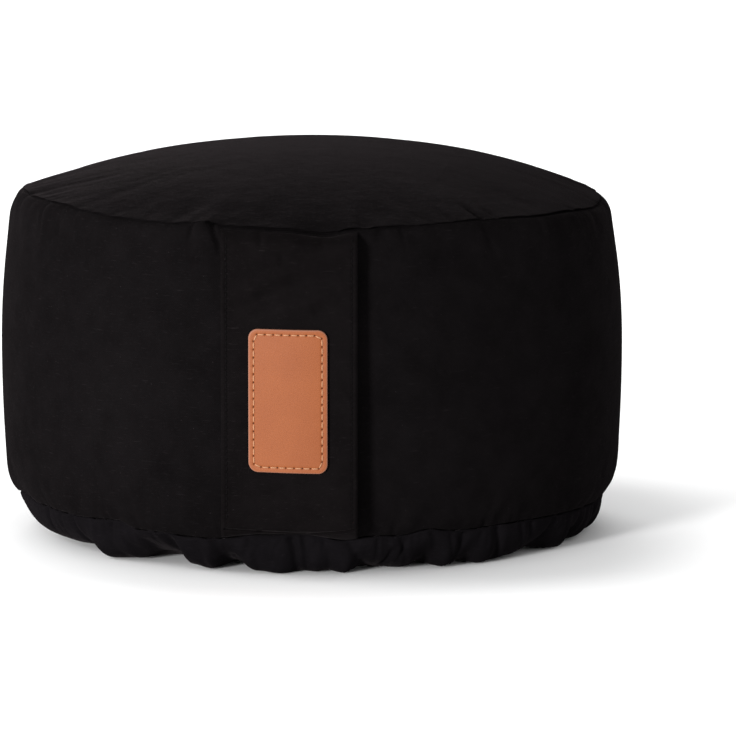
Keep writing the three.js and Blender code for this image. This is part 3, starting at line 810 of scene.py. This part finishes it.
def patch_relief(x, z):
    """How far the leather's face stands below its full thickness: rounded over at the rim, drawn into a
    shallow channel under the stitches, dimpled at each hole. Returns with it how deep in a stitch hole each
    point is, from 0 to 1, and how far in from the rim."""
    rim = from_rim(x, z)
    over = np.clip(1 - rim / PATCH_EDGE_ROUNDING, 0, 1)
    rounded = PATCH_EDGE_ROUNDING * (1 - np.sqrt(1 - over**2))
    soft = PATCH_SOFT_RIM_DEPTH * np.exp(-rim / PATCH_SOFT_RIM_WIDTH)
    channel = PATCH_CHANNEL_DEPTH * np.exp(-(((rim - PATCH_STITCH_INSET) / PATCH_CHANNEL_WIDTH) ** 2))
    hole = np.zeros(x.shape)
    for hole_x, hole_z in stitch_holes():
        hole = np.maximum(hole, np.exp(-(((x - hole_x) ** 2 + (z - hole_z) ** 2) / PATCH_HOLE_RADIUS**2)))
    return rounded + soft + channel + PATCH_HOLE_DEPTH * hole, hole, rim


def patch_outward(x, z, sunk):
    """Points of the patch at (x, z) from its middle, sunk below its full thickness."""
    height = PATCH_CENTRE_HEIGHT + z
    back = strap_thickness(height) + PATCH_CLEARANCE
    return strap_face(PATCH_CENTRE_X + x, height, back + PATCH_THICKNESS - sunk)


def patch_lines(size):
    """Where the patch's grid lines lie over a width or height: evenly, with finer cells at both rims."""
    inner = np.linspace(PATCH_RIM_END, size - PATCH_RIM_END, int(size / PATCH_CELL))
    return np.concatenate([PATCH_RIM_CELLS, inner, size - PATCH_RIM_CELLS[::-1]]) - size / 2


def leather_patch(finish, thread):
    """A plate of leather on the strap's face: rows of points up the patch, each across its width at that
    height and back again on the hidden side. Returns it with its stitches."""
    radius = PATCH_CORNER_RADIUS
    z = patch_lines(PATCH_HEIGHT)[:, None]
    past = np.maximum(np.abs(z) - (PATCH_HEIGHT / 2 - radius), 0)
    half = PATCH_WIDTH / 2 - radius + np.sqrt(np.maximum(radius**2 - past**2, 0))
    x = patch_lines(PATCH_WIDTH)[None, :] / (PATCH_WIDTH / 2) * half
    z = np.broadcast_to(z, x.shape)
    sunk, hole, rim = patch_relief(x, z)
    front = patch_outward(x, z, sunk)
    back = patch_outward(x, z, PATCH_THICKNESS)[:, ::-1]
    points = np.concatenate([front, back], axis=1)
    rows, columns = points.shape[:2]
    wide = x.shape[1]
    faces = ring_faces(rows, columns).tolist()
    i = np.arange(wide - 1)
    last = (rows - 1) * columns
    faces += np.stack([i + 1, i, columns - 1 - i, columns - 2 - i], 1).tolist()
    faces += np.stack([last + i, last + i + 1, last + columns - 2 - i, last + columns - 1 - i], 1).tolist()
    flat = np.stack([x, z], -1)
    both = np.concatenate([flat, flat[:, ::-1]], axis=1).reshape(-1, 2)
    uv = both[np.array(faces).ravel()]
    attributes = {
        "rim": np.concatenate([rim, 0 * rim], 1) / MM,
        # where the leather's colour paints shade into the stitch holes
        "hole": np.concatenate([hole, 0 * hole], 1),
    }
    mesh = mesh_of("leather_label", points, faces, uv, attributes)
    piece = new_piece("leather_label", mesh, finish)
    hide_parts("leather_patch")
    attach(piece, "root")

    holes = stitch_holes()
    following = np.roll(holes, -1, axis=0)
    starts, ends, centres = (patch_outward(p[:, 0], p[:, 1], PATCH_STITCH_SINK)
                             for p in (holes, following, (holes + following) / 2))
    sewn = stitches("patch_stitches", centres, ends - starts,
                    PATCH_STITCH_LENGTH, PATCH_THREAD_RADIUS, thread)
    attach(sewn, "root")
    return piece, sewn


# Materials

class Wire:
    """A shader socket that can be calculated with: each operator adds one Math node."""

    def __init__(self, finish, socket):
        self.finish, self.socket = finish, socket

    def math(self, operation, *others):
        inputs = dict(enumerate((self, *others)))
        return self.finish.node("ShaderNodeMath", {"operation": operation}, inputs)

    def __add__(self, other):
        return self.math("ADD", other)

    def __rsub__(self, other):
        return self.finish.node("ShaderNodeMath", {"operation": "SUBTRACT"}, {0: other, 1: self})

    def __mul__(self, other):
        return self.math("MULTIPLY", other)

    __radd__ = __add__
    __rmul__ = __mul__


class Finish:
    """A material in the making: `uniform` holds what its shader's sockets are set to all over."""

    def __init__(self, name, uniform):
        self.material = bpy.data.materials.new(name)
        self.material.use_nodes = True
        self.nodes = self.material.node_tree.nodes
        self.shader = self.nodes["Principled BSDF"]
        for socket, value in uniform.items():
            self.shader.inputs[socket].default_value = value

    def put(self, socket, value):
        if isinstance(value, Wire):
            self.material.node_tree.links.new(value.socket, socket)
        else:
            socket.default_value = value

    def node(self, kind, settings=None, inputs=None, output=0):
        """Adds a node: its settings first, then the values or links of its sockets, by name or number."""
        node = self.nodes.new(kind)
        for key, value in (settings or {}).items():
            setattr(node, key, value)
        for key, value in (inputs or {}).items():
            self.put(next((s for s in node.inputs if s.identifier == key), None) or node.inputs[key], value)
        return Wire(self, node.outputs[output])

    def mix(self, start, end, share):
        """A colour between two."""
        sockets = {"A_Color": start, "B_Color": end, "Factor_Float": share}
        return self.node("ShaderNodeMix", {"data_type": "RGBA"}, sockets, output=2)

    def shape(self, value, low, high):
        """0 where value is up to low, 1 from high on, smooth between."""
        return self.node("ShaderNodeMapRange", {"interpolation_type": "SMOOTHSTEP"},
                         {"Value": value, "From Min": low, "From Max": high})

    def noise(self, vector, scale, detail=2.0, roughness=0.5):
        return self.node("ShaderNodeTexNoise", None,
                         {"Vector": vector, "Scale": scale, "Detail": detail, "Roughness": roughness})

    def stretched(self, vector, scale):
        return self.node("ShaderNodeMapping", None, {"Vector": vector, "Scale": scale})

    def bump(self, height, distance, strength, over=None):
        """The normal that a height gives, in metres, on top of another bump if one is given."""
        sockets = {"Height": height, "Distance": distance, "Strength": strength}
        if over:
            sockets["Normal"] = over
        return self.node("ShaderNodeBump", None, sockets)

    def surface(self, varying):
        for socket, value in varying.items():
            self.put(self.shader.inputs[socket], value)
        return self.material


THREAD_PITCH = 0.00062


def cotton(name, dark, light, slubs=1.0):
    """Black plain-woven cotton: over and under threads, thicker slubs mostly along the weft, which runs
    round the drum, soft crumples, uneven dye, a little fuzz and a few specks of lint."""
    finish = Finish(name, {"Sheen Weight": 0.0145, "Sheen Roughness": 0.3, "Specular IOR Level": 0.0,
                           "Sheen Tint": (1.0, 0.87, 0.9, 1)})
    cloth = finish.node("ShaderNodeUVMap", {"uv_map": "cloth"})
    place = finish.node("ShaderNodeTexCoord", output=3)
    wobble = finish.noise(finish.stretched(cloth, (90, 90, 1)), 1.0, 3.0)
    u = finish.node("ShaderNodeSeparateXYZ", None, {0: cloth})
    v = finish.node("ShaderNodeSeparateXYZ", None, {0: cloth}, output=1)
    turn = math.pi / THREAD_PITCH
    weave = (u * turn + wobble * 5.0).math("SINE") * (v * turn + wobble * 5.0).math("SINE")

    def thick_places(scale, low, high):
        return finish.shape(finish.noise(finish.stretched(cloth, scale), 1.0, 2.0, 0.6), low, high)

    long_slub = thick_places((120, 1000, 1), 0.60, 0.76)
    short_slub = thick_places((330, 1300, 1), 0.58, 0.76)
    warp_slub = thick_places((1300, 110, 1), 0.64, 0.82)
    slub = long_slub.math("MAXIMUM", short_slub * 0.8) * slubs
    dye = finish.noise(place, 13.0, 2.0, 0.5) * 0.45 + finish.noise(place, 70.0, 3.0, 0.6) * 0.55
    fuzz = finish.noise(place, 1000.0, 2.0, 0.7)
    colour = finish.mix(dark, light, finish.shape(dye, 0.2, 0.8) * 0.7 + fuzz * 0.3)
    bright = tuple(2.0 * part for part in light[:3]) + (1,)
    colour = finish.mix(colour, bright, slub * 0.45 + warp_slub * 0.25)
    speck = finish.node("ShaderNodeTexVoronoi", {"voronoi_dimensions": "2D"},
                        {"Vector": cloth, "Scale": 32.0})
    lint = 1 - finish.shape(speck, 0.004, 0.010)
    colour = finish.mix(colour, tuple(4 * part for part in light[:3]) + (1,), lint * 0.7)
    height = weave * 0.5 + slub * 0.9 + warp_slub * 0.4 + fuzz * 0.5 + lint
    crumple = finish.noise(finish.stretched(place, (1, 1, 2.2)), 55.0, 4.0, 0.65)
    normal = finish.bump(height, 0.00014, 0.8, over=finish.bump(crumple, 0.0016, 0.6))
    return finish.surface({"Base Color": colour, "Roughness": fuzz * 0.15 + 0.8, "Normal": normal})


def leather():
    """Tan leather: fine pores and creases, darker in the stitch holes by painted shade, paler on its cut rim.
    """
    finish = Finish("tan_leather", {"Specular IOR Level": 0.2})
    place = finish.node("ShaderNodeTexCoord", output=3)
    rim = finish.node("ShaderNodeAttribute", {"attribute_name": "rim"}, output=2)
    hole = finish.node("ShaderNodeAttribute", {"attribute_name": "hole"}, output=2)
    cloud = finish.noise(place, 60.0, 3.0, 0.5)
    pores = finish.node("ShaderNodeTexVoronoi", {"feature": "DISTANCE_TO_EDGE"},
                        {"Vector": place, "Scale": 1500.0})
    grain = finish.shape(pores, 0.0, 0.25)
    fine = finish.noise(place, 1300.0, 3.0, 0.6)
    colour = finish.mix((0.168, 0.0415, 0.0098, 1), (0.210, 0.0585, 0.0150, 1), cloud * 0.8 + fine * 0.3)
    worn = 1 - finish.shape(rim, 0.1, 0.9)
    colour = finish.mix(colour, (0.225, 0.104, 0.070, 1), worn * 0.8)
    # Painted shade: the stitch holes are darkened in the colour, for the shade deep inside them.
    colour = finish.mix(colour, (0.030, 0.007, 0.003, 1), finish.shape(hole, 0.25, 0.7))
    normal = finish.bump(grain * 0.6 + fine * 0.6, 0.00006, 0.6)
    return finish.surface({"Base Color": colour, "Roughness": 0.5 + fine * 0.15, "Normal": normal})


def sewing_thread(name, colour, painted_groove_shade, gloss):
    """Twisted sewing thread, with painted shade in the grooves between its strands."""
    finish = Finish(name, {"Roughness": 0.75, "Specular IOR Level": gloss})
    place = finish.node("ShaderNodeTexCoord", output=3)
    strands = finish.node("ShaderNodeTexWave", {"bands_direction": "DIAGONAL"},
                          {"Vector": place, "Scale": 900.0, "Distortion": 1.5})
    # Painted shade: the colour darkens to the shade tone between the twisted strands.
    tone = finish.mix(painted_groove_shade, colour, strands)
    return finish.surface({"Base Color": tone, "Normal": finish.bump(strands, 0.0001, 0.5)})


# Swelling by cloth simulation

def softly_sampled(values, places, wanted, width, whole_turn=None):
    """Values on rows at places, read at the wanted places along the first axis: a mean weighted by a bell
    of a width. The whole turn is given for places on a ring."""
    apart = wanted[:, None] - places[None, :]
    if whole_turn:
        apart = np.mod(apart + whole_turn / 2, whole_turn) - whole_turn / 2
    weights = np.exp(-((apart / width) ** 2))
    return (weights / weights.sum(axis=1, keepdims=True)) @ values


def coarse_body(wall_share, crown_share, azimuth):
    """The smooth drum as a coarse closed skin, a little thinner than the real one, for the simulation."""
    low, top = lower_seam_height(azimuth), top_seam_height(azimuth)
    height = mix(low, top, wall_share[:, None])
    bottom = polar(azimuth, np.array([[BASE_RADIUS], [COARSE_UNDERSIDE_RADIUS]]),
                   np.array([[0.0], [COARSE_UNDERSIDE_HEIGHT]]))
    wall = polar(azimuth, wall_radius(azimuth, height) - COARSE_INSET, height)
    crown = polar(azimuth, crown_share[:, None] * (TOP_SEAM_RADIUS - COARSE_INSET),
                  crown_height(azimuth, crown_share[:, None]) - SEAM_LIP - COARSE_INSET)
    return np.concatenate([bottom, wall, crown])


def blown_up(start):
    """Blows up cloth that is a little too large for the coarse drum, held at the bottom, along both seams
    and in the middle of the crown, and returns how far each of the drum's points has moved."""
    rows, columns = start.shape[:2]
    below, above = rows * columns, rows * columns + 1
    vertices = np.concatenate([start.reshape(-1, 3), [[0, 0, 0], [0, 0, start[-1, :, 2].mean() + 0.001]]])
    faces = ring_faces(rows, columns).tolist() + fan_faces(rows, columns).tolist()
    mesh = mesh_of("coarse_body", vertices, faces)
    cover = placed("coarse_body", mesh)

    held = np.zeros((rows, columns), bool)
    held[:3] = held[-3:] = True
    held[1 + COARSE_WALL_ROWS] = True
    pins = cover.vertex_groups.new(name="pins")
    pins.add(np.flatnonzero(held.ravel()).tolist() + [below, above], 1.0, "REPLACE")
    cloth = cover.modifiers.new("swelling", "CLOTH")
    cloth.settings.quality = 5
    cloth.settings.mass = 0.15
    cloth.settings.tension_stiffness = cloth.settings.compression_stiffness = 30
    cloth.settings.shear_stiffness = 10
    cloth.settings.bending_stiffness = 0.4
    cloth.settings.use_pressure = True
    cloth.settings.uniform_pressure_force = 4
    cloth.settings.shrink_min = cloth.settings.shrink_max = -SPARE_CLOTH
    cloth.settings.vertex_group_mass = "pins"
    cloth.settings.effector_weights.gravity = 0
    cloth.collision_settings.use_collision = False
    for step in range(1, CLOTH_STEPS + 1):
        bpy.context.scene.frame_set(step)
    found = cover.evaluated_get(bpy.context.evaluated_depsgraph_get()).data
    ends = np.empty(len(vertices) * 3)
    found.vertices.foreach_get("co", ends)
    bpy.context.scene.frame_set(1)
    bpy.data.objects.remove(cover)
    bpy.data.meshes.remove(mesh)
    return ends.reshape(-1, 3)[:rows * columns].reshape(rows, columns, 3) - start


def swollen():
    """How far the filling pushes the cover out, in metres, on the wall's and the crown's rows, so that it
    puckers beside the seams. The mean of each ring is left out, so that the outline stays, as is nearly all
    of the swelling behind the strap and in the middle of the crown."""
    azimuth = np.linspace(-180, 180, COARSE_COLUMNS, endpoint=False)
    wall_share = np.linspace(0, 1, COARSE_WALL_ROWS)
    crown_share = np.linspace(1, COARSE_CROWN_MIDDLE, COARSE_CROWN_ROWS)[1:]
    moved = blown_up(coarse_body(wall_share, crown_share, azimuth[None, :]))
    outward = polar(azimuth[None, :], 1.0, 0.0)
    wall = (moved * outward).sum(axis=-1)[2:2 + COARSE_WALL_ROWS]
    crown = moved[1 + COARSE_WALL_ROWS:, :, 2] * CROWN_SWELLING
    rings = {"wall": (wall, wall_share, wall_shares()),
             "crown": (crown, np.append(1, crown_share), crown_shares())}
    swelling = {}
    fine = body_azimuths()[0]
    for name, (push, coarse_share, fine_share) in rings.items():
        push = push - push.mean(axis=1, keepdims=True)
        push = np.clip(push, -SWELLING_CAP, SWELLING_CAP)
        spacing = abs(coarse_share[1] - coarse_share[0])
        push = softly_sampled(push, coarse_share, fine_share[:, 0], SAMPLING_BELL * spacing)
        spacing = 360 / COARSE_COLUMNS
        swelling[name] = softly_sampled(push.T, azimuth, fine, SAMPLING_BELL * spacing, whole_turn=360).T
    swelling["crown"] *= eased((crown_shares() - CROWN_STILL_SHARE) / CROWN_STILL_FADE)
    behind_strap = eased((UNDER_STRAP_REACH - np.abs(fine - UNDER_STRAP_AZIMUTH)) / UNDER_STRAP_FADE)
    capped = np.minimum(swelling["wall"], UNDER_STRAP_CAP)
    swelling["wall"] = mix(swelling["wall"], capped, behind_strap[None, :])
    return swelling


# Camera, floor and light

def camera():
    """The photograph's view, from the front and a little above."""
    lens = SENSOR_WIDTH * CAMERA_DISTANCE / (METRES_PER_PIXEL * IMAGE_WIDTH)
    data = bpy.data.cameras.new("camera")
    data.sensor_width = SENSOR_WIDTH
    data.lens = lens
    data.clip_start, data.clip_end = 0.1, 100
    eye = placed("camera", data)
    back = Vector((0, -math.cos(CAMERA_ELEVATION), math.sin(CAMERA_ELEVATION)))
    eye.location = Vector(CAMERA_AIM) + back * CAMERA_DISTANCE
    eye.rotation_euler = (math.pi / 2 - CAMERA_ELEVATION, 0, 0)
    bpy.context.scene.camera = eye


def studio():
    """A wide pale floor, an even white surround, and three low lights: one from the front left, whose shadow
    shows beside the strap, a soft one from the left, and one from behind, which brightens the crown's rim.
    Away from the cushion the floor glows faintly, so that only the shadow close to it is left."""
    angle = np.linspace(0, 2 * np.pi, FLOOR_CORNERS, endpoint=False)
    rim = np.stack([FLOOR_RADIUS * np.cos(angle), FLOOR_RADIUS * np.sin(angle),
                    np.full(FLOOR_CORNERS, -FLOOR_DROP)], -1)
    finish = Finish("pale_floor", {"Base Color": (0.93, 0.93, 0.932, 1), "Roughness": 0.9,
                                   "Specular IOR Level": 0.0, "Emission Strength": 0.15})
    place = finish.node("ShaderNodeTexCoord", output=3)
    distance = finish.node("ShaderNodeVectorMath", {"operation": "LENGTH"}, {0: place}, output=1)
    finish.surface({"Emission Color": finish.shape(distance, FLOOR_GLOW_START, FLOOR_GLOW_FULL)})
    floor = new_piece("floor", mesh_of("floor", rim, [list(range(FLOOR_CORNERS))]), finish.material)

    world = bpy.data.worlds.new("surround")
    bpy.context.scene.world = world
    world.use_nodes = True
    background = world.node_tree.nodes["Background"]
    background.inputs["Color"].default_value = (1, 1, 1, 1)
    background.inputs["Strength"].default_value = 0.72

    for name, direction, power, spread in (
        ("front left light", (-0.55, -0.82, 0.15), 4.8, 12),
        ("left light", (-0.98, 0.1, 0.35), 2.0, 40),
        ("back light", (-0.25, 0.95, 0.22), 3.5, 40),
    ):
        lamp = bpy.data.lights.new(name, "SUN")
        lamp.energy = power
        lamp.angle = math.radians(spread)
        sun = placed(name, lamp)
        sun.rotation_mode = "QUATERNION"
        sun.rotation_quaternion = Vector(direction).to_track_quat("Z", "Y")
    bpy.context.scene.view_settings.view_transform = "Standard"


camera()
studio()
black_cotton = cotton("black_cotton", (0.0021, 0.0018, 0.0019, 1), (0.0049, 0.0042, 0.0045, 1))
strap_cotton = cotton("strap_cotton", (0.0022, 0.0018, 0.0019, 1), (0.0051, 0.0043, 0.0045, 1), 1.1)
# Painted light: the skirt's cotton is a lighter, bluer copy of the body's black cotton, for the light that
# falls on the skirt.
skirt_cotton = cotton("skirt_cotton", (0.0024, 0.0021, 0.0024, 1), (0.0055, 0.0048, 0.0056, 1), 0.8)
# The second colour of each thread is its painted shade between the strands.
black_thread = sewing_thread("black_thread", (0.0060, 0.0053, 0.0056, 1), (0.0012, 0.0010, 0.0011, 1), 0.015)
cream_thread = sewing_thread("cream_thread", (0.42, 0.215, 0.120, 1), (0.25, 0.115, 0.055, 1), 0.2)

filled_body(black_cotton, swollen())
gathered_skirt(skirt_cotton)
strap = carrying_strap(strap_cotton)
topstitching = strap_topstitching(black_thread)
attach(topstitching, "root")
patch, patch_stitches = leather_patch(leather(), cream_thread)
